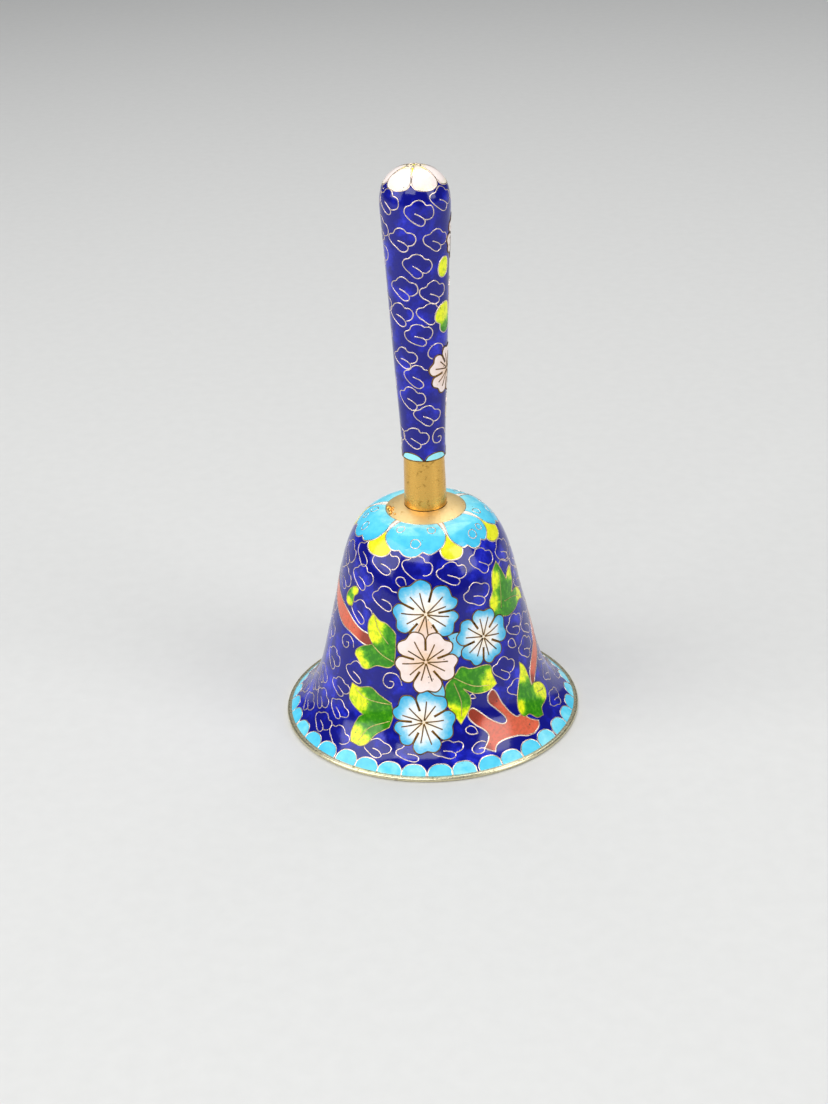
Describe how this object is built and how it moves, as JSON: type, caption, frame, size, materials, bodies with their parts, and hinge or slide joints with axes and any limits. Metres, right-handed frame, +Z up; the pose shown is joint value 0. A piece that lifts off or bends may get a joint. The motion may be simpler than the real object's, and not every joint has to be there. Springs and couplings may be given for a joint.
{
  "type": "cloisonne enamel hand bell",
  "caption": "Small table hand bell with a flared enamelled metal body, a tapered enamelled handle in a brass sleeve, and a ball clapper on a link.",
  "frame": {"origin": "middle of the mouth, on the plane that the rim stands on", "axes": "+Z up along the bell's axis through the handle, -Y towards the side with the flowers"},
  "size_m": [0.07, 0.07, 0.1326],
  "materials": {
    "cobalt_enamel": "vitreous enamel, ground and polished gloss",
    "turquoise_enamel": "vitreous enamel, ground and polished gloss",
    "white_enamel": "vitreous enamel, ground and polished gloss",
    "green_enamel": "vitreous enamel, ground and polished gloss",
    "coral_enamel": "vitreous enamel, ground and polished gloss",
    "lining_enamel": "vitreous enamel, fired gloss, not ground",
    "gilt_brass": "gilded, satin",
    "aged_brass": "scuffed and tarnished",
    "copper": "spun copper, hidden under the enamel",
    "bright_brass": "turned and plain drawn brass"
  },
  "bodies": {
    "root": {"rim_ring": "gilt_brass", "rim_border_enamel": "turquoise_enamel", "body_enamel": "cobalt_enamel", "flower_inlays": "white_enamel", "leaf_inlays": "green_enamel", "branch_inlays": "coral_enamel", "collar_enamel": "turquoise_enamel", "crown_disc": "gilt_brass", "ferrule": "aged_brass", "handle_foot_enamel": "turquoise_enamel", "handle_enamel": "cobalt_enamel", "handle_cap_enamel": "white_enamel", "bell_shell": "copper", "counter_enamel": "lining_enamel", "handle_core": "copper", "handle_plug": "bright_brass", "eye_bolt": "bright_brass", "crown_washer": "bright_brass", "crown_nut": "bright_brass"},
    "link": {"chain_link": "bright_brass"},
    "clapper": {"clapper_wire": "bright_brass", "clapper_ball": "bright_brass"}
  },
  "joints": [
    {"name": "link_swing", "type": "hinge", "parent": "root", "child": "link", "pos_m": [0, 0, 0.0426], "axis": [1, 0, 0], "range_deg": [-33, 33]},
    {"name": "clapper_swing", "type": "hinge", "parent": "link", "child": "clapper", "pos_m": [0, 0, 0.03721], "axis": [0, 1, 0], "range_deg": [-12, 12]}
  ]
}
